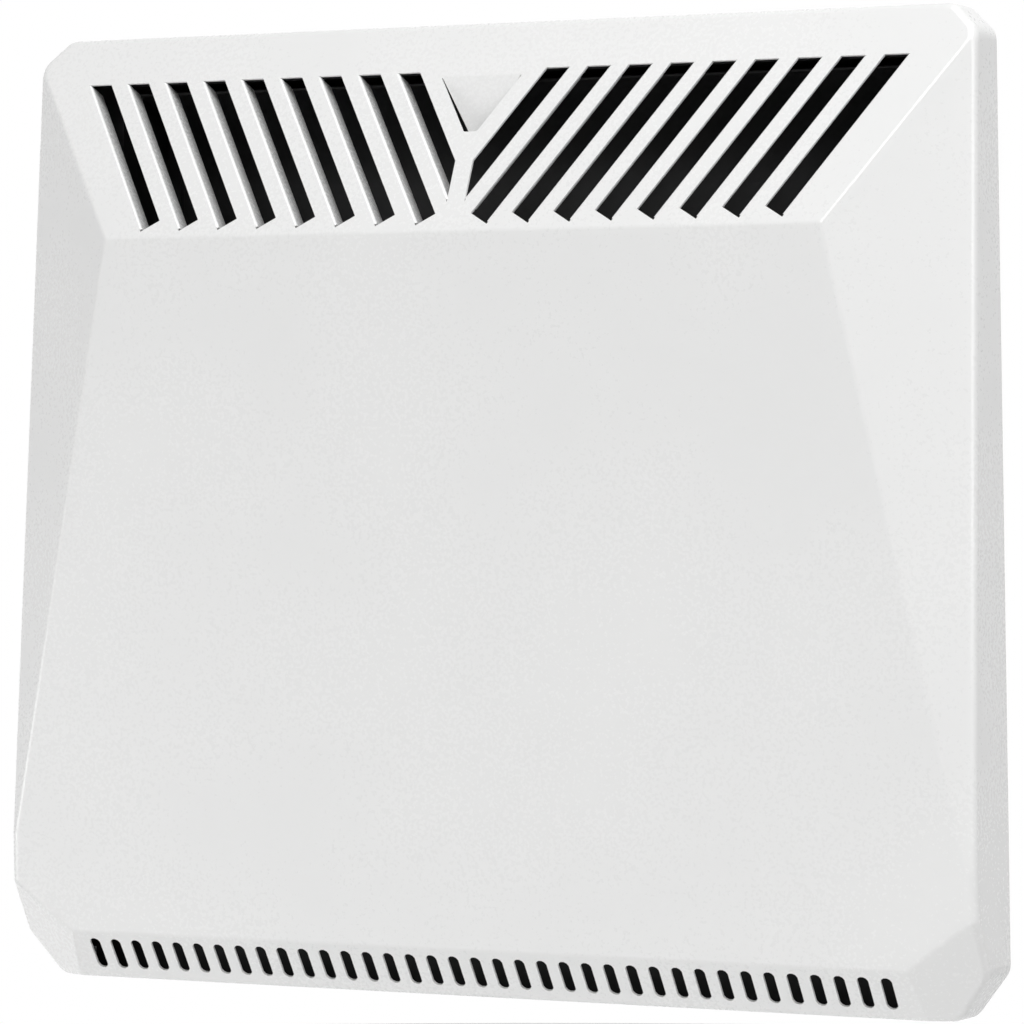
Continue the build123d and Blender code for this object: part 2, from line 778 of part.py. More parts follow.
# Air guide: a curved sheet that turns the warm air towards the louvres
with BuildPart() as air_guide:
    with BuildSketch(Plane.YZ.offset(-guide_half)):
        with BuildLine():
            leg = Line((shelf_y, guide_start_z), (shelf_y, guide_start_z + guide_leg))
            TangentArc(
                leg @ 1, (shelf_y - guide_radius, guide_start_z + guide_leg + guide_radius), tangent=(0, 1),
            )
            offset(amount=shield_sheet, side=Side.LEFT)
        make_face()
    extrude(amount=2 * guide_half)
    with BuildSketch(xz_plane(shelf_y)):
        with Locations(*guide_screw_places):
            Circle(screw_radius + slip_gap)
    extrude(amount=shield_sheet, mode=Mode.SUBTRACT)
air_guide.part.label = "air_guide"

inner_screws = screws(
    [Plane(origin=(x, shelf_y - stay_sheet - seat_gap, z), z_dir=(0, 1, 0))
     for x, z in stay_screw_places]
    + [Plane(origin=(x, shelf_y - shield_sheet - seat_gap, z), z_dir=(0, 1, 0))
       for x, z in shield_screw_places + guide_screw_places]
)
inner_screws.part.label = "inner_screws"

# Control panel on the right wall of the casing
with BuildPart() as control_panel:
    with BuildSketch(Plane.YZ.offset(panel_in_x)):
        with Locations((panel_y, panel_z)):
            RectangleRounded(panel_width, panel_length, panel_corner)
    extrude(amount=panel_sheet)
    chamfer(control_panel.faces().sort_by(Axis.X)[-1].edges(), length=panel_bevel)
    with BuildSketch(Plane.YZ.offset(panel_in_x)):
        with Locations((panel_y, panel_z)):
            Rectangle(housing_width, housing_length)
            Rectangle(
                housing_width - 2 * housing_wall, housing_length - 2 * housing_wall, mode=Mode.SUBTRACT,
            )
    extrude(amount=-housing_depth)
    with BuildSketch(Plane.YZ.offset(panel_in_x)):
        with Locations((panel_y, knob_z)):
            Circle(thermostat_bush + slip_gap)
        for z in rocker_z:
            with Locations((panel_y, z)):
                Rectangle(switch_width + 2 * slip_gap, switch_length + 2 * slip_gap)
        with Locations((panel_y, pilot_z)):
            Circle(pilot_radius + slip_gap)
        for end in (-1, 1):
            with Locations((panel_y, panel_z + end * (panel_length / 2 - panel_screw_inset))):
                Circle(screw_radius + slip_gap)
    extrude(amount=panel_sheet, mode=Mode.SUBTRACT)
control_panel.part.label = "control_panel"

panel_screws = screws([
    Plane(origin=(panel_out_x + seat_gap, panel_y, panel_z + end * (panel_length / 2 - panel_screw_inset)),
          z_dir=(-1, 0, 0)) for end in (-1, 1)
])
panel_screws.part.label = "panel_screws"

with BuildPart() as thermostat:
    with BuildSketch(Plane.YZ.offset(panel_in_x - seat_gap)):
        with Locations((panel_y, knob_z)):
            Rectangle(thermostat_side, thermostat_side)
    extrude(amount=-thermostat_depth)
    with BuildSketch(Plane.YZ.offset(panel_in_x - seat_gap)):
        with Locations((panel_y, knob_z)):
            Circle(thermostat_bush)
    extrude(amount=panel_sheet + 3 * seat_gap + nut_height)
    with BuildSketch(Plane.YZ.offset(panel_out_x - spindle_inside - seat_gap)):
        with Locations((panel_y, knob_z)):
            Circle(spindle_radius + running_gap)
    extrude(amount=thermostat_depth, mode=Mode.SUBTRACT)
    tab_width, tab_sheet, tab_length = tab_terminal
    with BuildSketch(Plane.YZ.offset(panel_in_x - seat_gap - thermostat_depth)):
        with Locations((panel_y - tab_width * 0.7, knob_z), (panel_y + tab_width * 0.7, knob_z)):
            Rectangle(tab_width, tab_sheet)
    extrude(amount=-tab_length)
thermostat.part.label = "thermostat"

with BuildPart() as thermostat_nut:
    with BuildSketch(Plane.YZ.offset(panel_out_x + seat_gap)):
        with Locations((panel_y, knob_z)):
            RegularPolygon(nut_size / 2, 6, major_radius=False)
            Circle(thermostat_bush + slip_gap, mode=Mode.SUBTRACT)
    extrude(amount=nut_height)
thermostat_nut.part.label = "thermostat_nut"

with BuildPart() as thermostat_spindle:
    with BuildSketch(Plane.YZ.offset(panel_out_x - spindle_inside)):
        with Locations((panel_y, knob_z)):
            Circle(spindle_radius)
    extrude(amount=spindle_inside + spindle_outside)
thermostat_spindle.part.label = "thermostat_spindle"

with BuildPart() as thermostat_knob:
    knob_x = panel_out_x + 2 * seat_gap
    with BuildSketch(Plane.YZ.offset(knob_x)):
        with Locations((panel_y, knob_z)):
            RegularPolygon(knob_radius, knob_sides)
    extrude(amount=knob_length, taper=knob_draft)
    with BuildSketch(Plane.YZ.offset(knob_x)):
        with Locations((panel_y, knob_z)):
            Circle(knob_recess_radius)
    extrude(amount=knob_recess_depth, mode=Mode.SUBTRACT)
    with BuildSketch(Plane.YZ.offset(knob_x)):
        with Locations((panel_y, knob_z)):
            Circle(spindle_radius + running_gap)
    extrude(amount=spindle_outside, mode=Mode.SUBTRACT)
    with BuildSketch(Plane.YZ.offset(knob_x + knob_length)):
        with Locations((panel_y, knob_z)):
            with PolarLocations(pointer_reach - pointer_length / 2, 1, start_angle=90 + knob_rest):
                Rectangle(pointer_length, pointer_width)
    extrude(amount=-pointer_width / 2, mode=Mode.SUBTRACT)
thermostat_knob.part.label = "thermostat_knob"


def power_switch(z):
    """Body of a rocker switch, with the rocker's pocket and the holes of its pins."""
    with BuildPart() as switch:
        with BuildSketch(Plane.YZ.offset(panel_out_x + seat_gap)):
            with Locations((panel_y, z)):
                Rectangle(switch_bezel_width, switch_bezel_length)
        extrude(amount=switch_bezel_height)
        with BuildSketch(Plane.YZ.offset(panel_out_x + seat_gap)):
            with Locations((panel_y, z)):
                Rectangle(switch_width, switch_length)
        extrude(amount=-switch_depth)
        with BuildSketch(Plane.YZ.offset(bezel_x)):
            with Locations((panel_y, z)):
                Rectangle(rocker_width + 2 * switch_room, rocker_length + 2 * rocker_swing)
        extrude(amount=-(bezel_x - rocker_x + 2 * rocker_keel), mode=Mode.SUBTRACT)
        with BuildSketch(Plane.XZ.offset(-panel_y)):
            with Locations((rocker_x, z)):
                Circle(rocker_pin_radius + running_gap)
        extrude(amount=switch_width / 2, both=True, mode=Mode.SUBTRACT)
        with BuildSketch(Plane.YZ.offset(panel_out_x + seat_gap - switch_depth)):
            with Locations((panel_y, z - switch_length / 4), (panel_y, z + switch_length / 4)):
                Rectangle(tab_width, tab_sheet)
        extrude(amount=-tab_length)
    return switch


def rocker(z):
    """Rocker with a dished face and two pins, tipped to its off position."""
    long = rocker_length / 2
    with BuildPart() as key:
        with BuildSketch(Plane.XZ):
            with BuildLine():
                Polyline(
                    (-rocker_keel, -long / 2), (0, -long), (rocker_rise, -long),
                    (rocker_rise - rocker_dip, 0), (rocker_rise, long), (0, long), (-rocker_keel, long / 2),
                )
                Line((-rocker_keel, long / 2), (-rocker_keel, -long / 2))
            make_face()
        extrude(amount=rocker_width / 2, both=True)
        fillet(key.edges().filter_by(Axis.Y).group_by(Axis.X)[-1], radius=switch_room)
        with BuildSketch(Plane.XZ):
            Circle(rocker_pin_radius)
        extrude(amount=rocker_width / 2 + switch_room + rocker_pin_reach, both=True)
    key.part = key.part.rotate(Axis.Y, rocker_tilt).translate((rocker_x, panel_y, z))
    return key


power_switch_upper, power_switch_lower = [power_switch(z) for z in rocker_z]
power_switch_upper.part.label = "power_switch_upper"
power_switch_lower.part.label = "power_switch_lower"
rocker_upper, rocker_lower = [rocker(z) for z in rocker_z]
rocker_upper.part.label = "rocker_upper"
rocker_lower.part.label = "rocker_lower"

with BuildPart() as pilot_light:
    with BuildSketch(Plane.YZ.offset(panel_out_x - pilot_length)):
        with Locations((panel_y, pilot_z)):
            Circle(pilot_radius)
    extrude(amount=pilot_length + pilot_radius / 2)
    chamfer(pilot_light.faces().sort_by(Axis.X)[-1].edges(), length=pilot_radius / 3)
pilot_light.part.label = "pilot_light"

# Overheat cut-out on a strap in front of the heat shield
with BuildPart() as cutout_bracket:
    strap_y = shield_y - shield_sheet - seat_gap
    with BuildSketch(Plane.XY.offset(cutout_z - cutout_strap / 2)):
        span, foot = cutout_span / 2, cutout_span / 2 + cutout_stand
        with BuildLine():
            Polyline(
                (cutout_x - foot, strap_y), (cutout_x - span, strap_y),
                (cutout_x - span, strap_y - cutout_stand), (cutout_x + span, strap_y - cutout_stand),
                (cutout_x + span, strap_y), (cutout_x + foot, strap_y),
            )
            offset(amount=stay_sheet, side=Side.RIGHT, kind=Kind.INTERSECTION)
        make_face()
    extrude(amount=cutout_strap)
cutout_bracket.part.label = "cutout_bracket"

with BuildPart() as overheat_cutout:
    cutout_y = strap_y - cutout_stand - stay_sheet - seat_gap
    with BuildSketch(xz_plane(cutout_y)):
        with Locations((cutout_x, cutout_z)):
            Circle(cutout_radius)
    extrude(amount=cutout_height)
    chamfer(overheat_cutout.faces().sort_by(Axis.Y)[0].edges(), length=tab_sheet)
    with BuildSketch(xz_plane(cutout_y - cutout_height)):
        with Locations((cutout_x - cutout_radius / 2, cutout_z), (cutout_x + cutout_radius / 2, cutout_z)):
            Rectangle(tab_sheet, tab_width)
    extrude(amount=tab_length)
overheat_cutout.part.label = "overheat_cutout"

with BuildPart() as tilt_switch:
    tilt_width, tilt_depth, tilt_height = tilt_size
    with BuildSketch(xz_plane(shelf_y)):
        with Locations((tilt_x, tilt_z)):
            Rectangle(tilt_width, tilt_height)
    extrude(amount=tilt_depth)
    chamfer(tilt_switch.faces().sort_by(Axis.Y)[0].edges(), length=tab_sheet)
    with BuildSketch(Plane.XY.offset(tilt_z + tilt_height / 2)):
        with Locations((tilt_x, shelf_y - tilt_depth / 2)):
            with GridLocations(tilt_width / 2, 0, 2, 1):
                Rectangle(tab_sheet, tab_width)
    extrude(amount=tab_length)
tilt_switch.part.label = "tilt_switch"

with BuildPart() as terminal_block:
    block_width, block_depth, block_height = block_size
    with BuildSketch(xz_plane(shelf_y)):
        with Locations((block_x, block_z)):
            Rectangle(block_width, block_height)
            with GridLocations(block_pitch, 0, block_poles - 1, 1):
                Rectangle(tab_sheet, block_height / 3, mode=Mode.SUBTRACT)
    extrude(amount=block_depth)
    with BuildSketch(Plane.XY.offset(block_z - block_height / 2)):
        with Locations((block_x, shelf_y - block_depth / 2)):
            with GridLocations(block_pitch, 0, block_poles, 1):
                Circle(terminal_radius)
    extrude(amount=block_height, mode=Mode.SUBTRACT)
terminal_block.part.label = "terminal_block"

with BuildPart() as cable_gland:
    with BuildSketch(Plane.XY.offset(casing_bottom - seat_gap)):
        with Locations((gland_x, panel_y)):
            Circle(gland_flange)
    extrude(amount=-gland_flange_height)
    with BuildSketch(Plane.XY.offset(casing_bottom - seat_gap)):
        with Locations((gland_x, panel_y)):
            Circle(gland_radius)
    extrude(amount=gland_length)
    with BuildSketch(Plane.XY.offset(casing_bottom + casing_sheet + seat_gap)):
        with Locations((gland_x, panel_y)):
            RegularPolygon(gland_nut, 6)
    extrude(amount=gland_nut_height)
    with BuildSketch(Plane.XY.offset(casing_bottom - gland_length)):
        with Locations((gland_x, panel_y)):
            Circle(gland_bore)
    extrude(amount=3 * gland_length, mode=Mode.SUBTRACT)
cable_gland.part.label = "cable_gland"

with BuildPart() as earth_screw:
    with BuildSketch(xz_plane(shelf_y)):
        with Locations((earth_x, earth_z)):
            Circle(washer_radius)
    extrude(amount=washer_height)
    with BuildSketch(xz_plane(shelf_y - washer_height)):
        with Locations((earth_x, earth_z)):
            RegularPolygon(screw_head, 6)
    extrude(amount=screw_head_height)
    with BuildSketch(xz_plane(shelf_y)):
        with Locations((earth_x, earth_z)):
            Circle(screw_radius)
    extrude(amount=-screw_length / 2)
earth_screw.part.label = "earth_screw"

# Rubber spacers that rest on the wall
with BuildPart() as wall_spacers:
    with BuildSketch(xz_plane(0)):
        with Locations((-spacer_x, spacer_z), (spacer_x, spacer_z)):
            Rectangle(spacer_side, spacer_side)
    extrude(amount=casing_stand - seat_gap)
    chamfer(wall_spacers.faces().sort_by(Axis.Y)[-2:].edges(), length=spacer_bevel)
    with BuildSketch(xz_plane(casing_y + seat_gap)):
        with Locations((-spacer_x, spacer_z), (spacer_x, spacer_z)):
            Circle(spacer_stem)
    extrude(amount=casing_sheet + 3 * seat_gap)
    with BuildSketch(xz_plane(shelf_y)):
        with Locations((-spacer_x, spacer_z), (spacer_x, spacer_z)):
            Circle(spacer_bulb)
    extrude(amount=spacer_bulb / 2)
wall_spacers.part.label = "wall_spacers"

pieces = [
    front_cover, rear_panel, casing_top_wall, casing_bottom_wall, casing_left_wall, casing_right_wall,
    wall_bracket, cover_screws, heating_element, heating_rod, rod_terminals,
    element_bushes, element_bracket_left, element_bracket_right, heat_shield, air_guide, inner_screws,
    control_panel, panel_screws, thermostat, thermostat_nut, thermostat_spindle, thermostat_knob,
    power_switch_upper, power_switch_lower, rocker_upper, rocker_lower, pilot_light, cutout_bracket,
    overheat_cutout, tilt_switch, terminal_block, cable_gland, earth_screw, wall_spacers,
]
os.makedirs("parts", exist_ok=True)
for piece in pieces:
    export_step(piece.part, f"parts/{piece.part.label}.step")
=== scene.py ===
import json
from math import atan, cos, pi, radians, sin, tau

import bmesh
import bpy
from mathutils import Matrix, Vector


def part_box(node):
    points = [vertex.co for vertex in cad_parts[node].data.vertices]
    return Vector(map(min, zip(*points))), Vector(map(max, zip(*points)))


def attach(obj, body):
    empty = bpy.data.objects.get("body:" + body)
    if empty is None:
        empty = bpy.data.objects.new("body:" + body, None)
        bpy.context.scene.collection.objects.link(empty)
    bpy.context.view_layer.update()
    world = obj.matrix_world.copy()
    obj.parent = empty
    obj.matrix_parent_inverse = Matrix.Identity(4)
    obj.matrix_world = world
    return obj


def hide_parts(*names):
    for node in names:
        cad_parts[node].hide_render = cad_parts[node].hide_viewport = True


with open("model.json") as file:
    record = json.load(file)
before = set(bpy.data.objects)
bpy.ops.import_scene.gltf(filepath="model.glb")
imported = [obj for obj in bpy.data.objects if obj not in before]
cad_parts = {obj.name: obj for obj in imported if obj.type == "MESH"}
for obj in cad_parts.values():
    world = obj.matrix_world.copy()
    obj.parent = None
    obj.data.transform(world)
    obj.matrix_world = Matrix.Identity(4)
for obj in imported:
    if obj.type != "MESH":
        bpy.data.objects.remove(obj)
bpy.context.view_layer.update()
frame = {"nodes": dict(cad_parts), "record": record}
nodes = frame["nodes"]
MM = 0.001
WHITE = (1.0, 1.0, 1.0, 1.0)

# Camera of the photograph, for a picture of 1024 by 1024
camera_data = bpy.data.cameras.new("camera")
camera_data.sensor_width = 36.0
camera_data.lens = 179.3
camera_data.shift_x = -0.0220
camera_data.shift_y = -0.01036
camera_data.clip_start = 0.05
camera_data.clip_end = 60.0
camera = bpy.data.objects.new("camera", camera_data)
camera.matrix_world = Matrix((
    (0.888944, -0.003873, 0.457999, 1.007597),
    (0.458015, 0.005935, -0.888925, -1.989771),
    (0.000725, 0.999975, 0.007049, 0.018909),
    (0.0, 0.0, 0.0, 1.0),
))
bpy.context.scene.collection.objects.link(camera)
bpy.context.scene.camera = camera
bpy.context.scene.view_settings.view_transform = "Standard"


# Node helpers
def add(tree, kind, inputs=(), **settings):
    """Node of that kind; inputs holds values or the sockets to link from."""
    made = tree.nodes.new("ShaderNode" + kind)
    for name, value in settings.items():
        setattr(made, name, value)
    for name, value in dict(inputs).items():
        if isinstance(value, bpy.types.NodeSocket):
            tree.links.new(value, made.inputs[name])
        else:
            made.inputs[name].default_value = value
    return made


def maths(tree, operation, first, second):
    return add(tree, "Math", {0: first, 1: second}, operation=operation).outputs[0]


def ranged(tree, value, low, high, to_low, to_high):
    """Value brought from one range to another, and held inside it."""
    return add(tree, "MapRange", {
        "Value": value, "From Min": low, "From Max": high, "To Min": to_low, "To Max": to_high,
    }).outputs["Result"]


def colour_mix(tree, factor, first, second, blend="MIX"):
    return add(
        tree, "Mix", {0: factor, 6: first, 7: second}, data_type="RGBA", blend_type=blend,
    ).outputs[2]


def seen_directly(tree):
    """1 for what is seen by the camera, in a reflection or through a lens, and 0 for spread light."""
    rays = add(tree, "LightPath").outputs
    opaque = maths(tree, "MAXIMUM", rays["Is Camera Ray"], rays["Is Glossy Ray"])
    return maths(tree, "MAXIMUM", opaque, rays["Is Transmission Ray"])


def rgba(colour):
    return (*colour[:3], 1.0)


# World: even white light, a full white for what sees it directly or in a reflection
SPREAD_LIGHT = 0.12
world = bpy.data.worlds.new("world")
world.use_nodes = True
bpy.context.scene.world = world
sky = world.node_tree
background = sky.nodes["Background"]
background.inputs["Color"].default_value = WHITE
sky.links.new(
    ranged(sky, seen_directly(sky), 0.0, 1.0, SPREAD_LIGHT, 1.0), background.inputs["Strength"],
)


def softbox(name, azimuth, elevation, distance, side, strength):
    """Square lamp facing the heater; strength is its share of the light on what faces it."""
    data = bpy.data.lights.new(name, "AREA")
    data.shape = "SQUARE"
    data.size = side
    data.energy = strength * pi * pi * (distance ** 2 + side ** 2 / pi)
    lamp = bpy.data.objects.new(name, data)
    turn, rise = radians(azimuth), radians(elevation)
    towards = Vector((sin(turn) * cos(rise), -cos(turn) * cos(rise), sin(rise)))
    lamp.location = towards * distance
    lamp.rotation_euler = towards.to_track_quat("Z", "Y").to_euler()
    bpy.context.scene.collection.objects.link(lamp)


# Lamps: degrees from straight ahead to the right and upwards, and metres
softbox("key_light", azimuth=40, elevation=60, distance=2.6, side=2.0, strength=0.72)
softbox("fill_light", azimuth=-68, elevation=-38, distance=2.4, side=1.5, strength=0.25)
softbox("low_light", azimuth=-55, elevation=-20, distance=2.4, side=1.2, strength=0.31)
softbox("side_light", azimuth=62, elevation=15, distance=2.4, side=1.2, strength=0.21)
softbox("crease_light", azimuth=10, elevation=32, distance=2.78, side=0.4, strength=0.11)

# Ranges in which the materials read their noises and their edges
NOISE_SPAN = (0.3, 0.7)
GLOSS_SPAN = (0.35, 0.65)
WEAR_SPAN = (0.35, 0.6)
LEAST_WEAR = 0.2
EDGE_SPAN = (0.995, 0.85)
BEVEL_SAMPLES = 6


def surface(name, tones, roughness, metallic=0.0, stretch=(1, 1, 1), patch=18.0, grain=900.0,
            relief=1e-5, edge=3e-4, wear=0.3, wear_tone=None, cells=0.0, cell_share=0.5, speck=0.04,
            **sockets):
    """Material with patches of tone, a fine grain in colour, gloss and relief, and worn soft edges.

    tones and roughness hold two ends each. patch, grain and cells are scales of noise in 1/m, relief
    and edge are metres, and wear is the most that an edge takes on of the wear tone.
    """
    material = bpy.data.materials.new(name)
    material.use_nodes = True
    tree = material.node_tree
    shader = tree.nodes["Principled BSDF"]
    place = add(tree, "TexCoord").outputs["Object"]
    run = add(tree, "Mapping", {"Vector": place, "Scale": stretch}).outputs["Vector"]
    broad = add(tree, "TexNoise", {"Vector": place, "Scale": patch, "Detail": 4.0}).outputs[0]
    fine = add(tree, "TexNoise", {
        "Vector": run, "Scale": grain, "Detail": 5.0, "Roughness": 0.6,
    }).outputs[0]
    if cells:
        cell = add(tree, "TexVoronoi", {"Vector": run, "Scale": cells}).outputs["Color"]
        shade = add(tree, "SeparateColor", {"Color": cell}).outputs[0]
        broad = add(tree, "Mix", {0: cell_share, 2: broad, 3: shade}).outputs[0]

    # Colour: patches, specks and rubbed edges
    patches = ranged(tree, broad, *NOISE_SPAN, 0.0, 1.0)
    tone = colour_mix(tree, patches, rgba(tones[0]), rgba(tones[1]))
    dots = ranged(tree, fine, *NOISE_SPAN, 1 - speck, 1 + speck)
    grey = add(tree, "CombineColor", {0: dots, 1: dots, 2: dots}).outputs[0]
    tone = colour_mix(tree, 1.0, tone, grey, "MULTIPLY")
    flat = add(tree, "NewGeometry").outputs["Normal"]
    bevel = flat
    if edge:
        bevel = add(tree, "Bevel", {"Radius": edge}, samples=BEVEL_SAMPLES).outputs["Normal"]
    turn = add(tree, "VectorMath", {0: bevel, 1: flat}, operation="DOT_PRODUCT").outputs["Value"]
    at_edge = ranged(tree, turn, *EDGE_SPAN, 0.0, wear)
    rubbed = maths(tree, "MULTIPLY", at_edge, ranged(tree, broad, *WEAR_SPAN, LEAST_WEAR, 1.0))
    paler = [min(1.0, 1.3 * c + 0.02) for c in tones[1]]
    tone = colour_mix(tree, rubbed, tone, rgba(wear_tone or paler))
    tree.links.new(tone, shader.inputs["Base Color"])

    # Gloss and relief
    mixed = maths(tree, "MULTIPLY", maths(tree, "ADD", broad, fine), 0.5)
    tree.links.new(ranged(tree, mixed, *GLOSS_SPAN, *roughness), shader.inputs["Roughness"])
    bump = add(tree, "Bump", {
        "Height": fine, "Distance": relief, "Strength": 1.0, "Normal": bevel,
    })
    tree.links.new(bump.outputs["Normal"], shader.inputs["Normal"])
    shader.inputs["Metallic"].default_value = metallic
    for socket, value in sockets.items():
        shader.inputs[socket.replace("_", " ")].default_value = value
    return material


# Materials by the record's slots, and two printing inks
FINISHES = {
    "cover_paint": dict(
        tones=((0.795, 0.797, 0.792), (0.775, 0.777, 0.773)), roughness=(0.24, 0.32),
        patch=9.0, grain=620.0, relief=1.5e-6, edge=0.0, wear=0.0, speck=0.002,
        Coat_Weight=0.35, Coat_Roughness=0.1,
    ),
    # Casing paint: a black paint, darkened further to a near-black that stands in for the shade
    # inside the heater; in part the casing's own colour, in part painted shade
    "casing_paint": dict(
        tones=((0.017, 0.017, 0.018), (0.024, 0.024, 0.0255)), roughness=(0.5, 0.64),
        grain=1400.0, relief=4e-5, wear=0.5, wear_tone=(0.12, 0.12, 0.125),
    ),
    "zinc_steel": dict(
        tones=((0.60, 0.61, 0.63), (0.50, 0.51, 0.52)), roughness=(0.26, 0.42), metallic=1.0,
        stretch=(9, 9, 1), patch=22.0, grain=260.0, relief=6e-6, wear=0.4,
        wear_tone=(0.75, 0.75, 0.76), cells=120.0, cell_share=0.35,
    ),
    "shield_steel": dict(
        tones=((0.56, 0.57, 0.57), (0.45, 0.46, 0.46)), roughness=(0.34, 0.52), metallic=1.0,
        stretch=(1, 1, 7), patch=26.0, grain=300.0, relief=8e-6, cells=210.0,
    ),
    "screw_steel": dict(
        tones=((0.55, 0.56, 0.57), (0.46, 0.46, 0.47)), roughness=(0.24, 0.4), metallic=1.0,
        patch=300.0, grain=2600.0, relief=5e-6, edge=1e-4, wear=0.4,
    ),
    "element_aluminium": dict(
        tones=((0.66, 0.67, 0.68), (0.56, 0.565, 0.57)), roughness=(0.28, 0.44), metallic=1.0,
        stretch=(0.02, 1, 1), patch=14.0, grain=1500.0, relief=1.4e-5, edge=1.5e-4, wear=0.4,
    ),
    "rod_steel": dict(
        tones=((0.30, 0.27, 0.24), (0.22, 0.22, 0.25)), roughness=(0.3, 0.5), metallic=1.0,
        stretch=(0.1, 1, 1), patch=60.0, grain=1800.0, relief=8e-6, edge=1e-4,
    ),
    "ceramic": dict(
        tones=((0.74, 0.71, 0.62), (0.69, 0.65, 0.56)), roughness=(0.5, 0.65),
        patch=120.0, grain=1600.0, relief=2.5e-5, edge=2e-4, wear=0.2,
    ),
    "panel_plastic": dict(
        tones=((0.69, 0.69, 0.68), (0.66, 0.66, 0.65)), roughness=(0.42, 0.54),
        patch=30.0, grain=2400.0, relief=2.2e-5, edge=4e-4, wear=0.15,
    ),
    "knob_plastic": dict(
        tones=((0.045, 0.045, 0.048), (0.055, 0.055, 0.058)), roughness=(0.34, 0.46),
        patch=60.0, grain=2600.0, relief=2e-5, wear=0.35,
    ),
    "switch_plastic": dict(
        tones=((0.030, 0.030, 0.031), (0.038, 0.038, 0.039)), roughness=(0.32, 0.42),
        patch=60.0, grain=2600.0, relief=1.5e-5, edge=2.5e-4,
    ),
    "rocker_plastic": dict(
        tones=((0.032, 0.032, 0.033), (0.040, 0.040, 0.041)), roughness=(0.12, 0.2),
        patch=90.0, grain=1800.0, relief=4e-6, edge=2.5e-4, wear=0.25,
    ),
    "lens": dict(
        tones=((0.72, 0.13, 0.02), (0.80, 0.20, 0.03)), roughness=(0.05, 0.12),
        patch=260.0, relief=8e-6, edge=1.5e-4, wear=0.1, Transmission_Weight=0.55, IOR=1.49,
    ),
    "phenolic": dict(
        tones=((0.055, 0.038, 0.030), (0.075, 0.052, 0.040)), roughness=(0.42, 0.6),
        patch=220.0, grain=1900.0, relief=2e-5, wear=0.35,
    ),
    "brass": dict(
        tones=((0.66, 0.46, 0.19), (0.52, 0.36, 0.16)), roughness=(0.26, 0.42), metallic=1.0,
        patch=180.0, grain=2200.0, relief=6e-6, edge=1.2e-4, wear=0.4,
    ),
    "cutout_metal": dict(
        tones=((0.64, 0.64, 0.64), (0.55, 0.55, 0.555)), roughness=(0.22, 0.36), metallic=1.0,
        patch=120.0, grain=2000.0, relief=5e-6, edge=2e-4,
    ),
    "nylon": dict(
        tones=((0.72, 0.69, 0.61), (0.68, 0.65, 0.57)), roughness=(0.38, 0.5),
        patch=90.0, grain=1700.0, relief=1.4e-5, wear=0.15,
    ),
    "gland_plastic": dict(
        tones=((0.030, 0.030, 0.030), (0.040, 0.040, 0.040)), roughness=(0.36, 0.5),
        patch=120.0, grain=2100.0, relief=1.8e-5, edge=2e-4,
    ),
    "rubber": dict(
        tones=((0.026, 0.026, 0.026), (0.036, 0.035, 0.034)), roughness=(0.62, 0.8),
        patch=140.0, grain=1500.0, relief=4e-5, edge=4e-4, wear=0.4, wear_tone=(0.09, 0.09, 0.088),
    ),
    "print_white": dict(
        tones=((0.78, 0.78, 0.77), (0.72, 0.72, 0.71)), roughness=(0.4, 0.55),
        patch=400.0, grain=3000.0, relief=8e-6, edge=5e-5, wear=0.2,
    ),
    "print_grey": dict(
        tones=((0.10, 0.10, 0.105), (0.13, 0.13, 0.135)), roughness=(0.4, 0.55),
        patch=400.0, grain=3000.0, relief=8e-6, edge=5e-5, wear=0.2,
    ),
}
finishes = {name: surface(name, **settings) for name, settings in FINISHES.items()}
for part in frame["record"]["subparts"]:
    nodes[part["node"]].data.materials.clear()
    nodes[part["node"]].data.materials.append(finishes[part["material_slot"]])

# Bevels of the small blocks
BEVEL_STEPS = 2
BEVEL_PROFILE = 0.6


# Mesh helpers; a base is a matrix whose Z runs out of the surface, and its lengths are millimetres
def base_at(origin, out, across):
    z = Vector(out).normalized()
    x = Vector(across).normalized()
    turn = Matrix((x, z.cross(x), z)).transposed().to_4x4()
    return Matrix.Translation(Vector(origin) * MM) @ turn @ Matrix.Scale(MM, 4)


def revolve(mesh, base, rings, sides=32, shape=None):
    """Skin through rings of (radius, height) round a base; shape may set the radius at an angle."""
    loops = []
    for radius, height in rings:
        if radius == 0:
            loops.append([mesh.verts.new(base @ Vector((0, 0, height)))])
            continue
        loop = []
        for step in range(sides):
            angle = tau * step / sides
            reach = shape(radius, height, angle) if shape else radius
            corner = Vector((reach * cos(angle), reach * sin(angle), height))
            loop.append(mesh.verts.new(base @ corner))
        loops.append(loop)
    for low, high in zip(loops, loops[1:]):
        for step in range(sides):
            after = (step + 1) % sides
            if len(low) == 1:
                mesh.faces.new((low[0], high[after], high[step]))
            elif len(high) == 1:
                mesh.faces.new((low[step], low[after], high[0]))
            else:
                mesh.faces.new((low[step], low[after], high[after], high[step]))


def block(mesh, base, low, high, bevel=0.0):
    """Box between two corners in a base, with bevelled edges."""
    centre = [(a + b) / 2 for a, b in zip(low, high)]
    size = [b - a for a, b in zip(low, high)]
    made = bmesh.ops.create_cube(mesh, size=1.0, matrix=(
        base @ Matrix.Translation(centre) @ Matrix.Diagonal((*size, 1.0))
    ))
    if bevel:
        edges = dict.fromkeys(edge for vert in made["verts"] for edge in vert.link_edges)
        bmesh.ops.bevel(
            mesh, geom=list(edges), offset=bevel * MM, segments=BEVEL_STEPS, affect="EDGES",
            profile=BEVEL_PROFILE,
        )


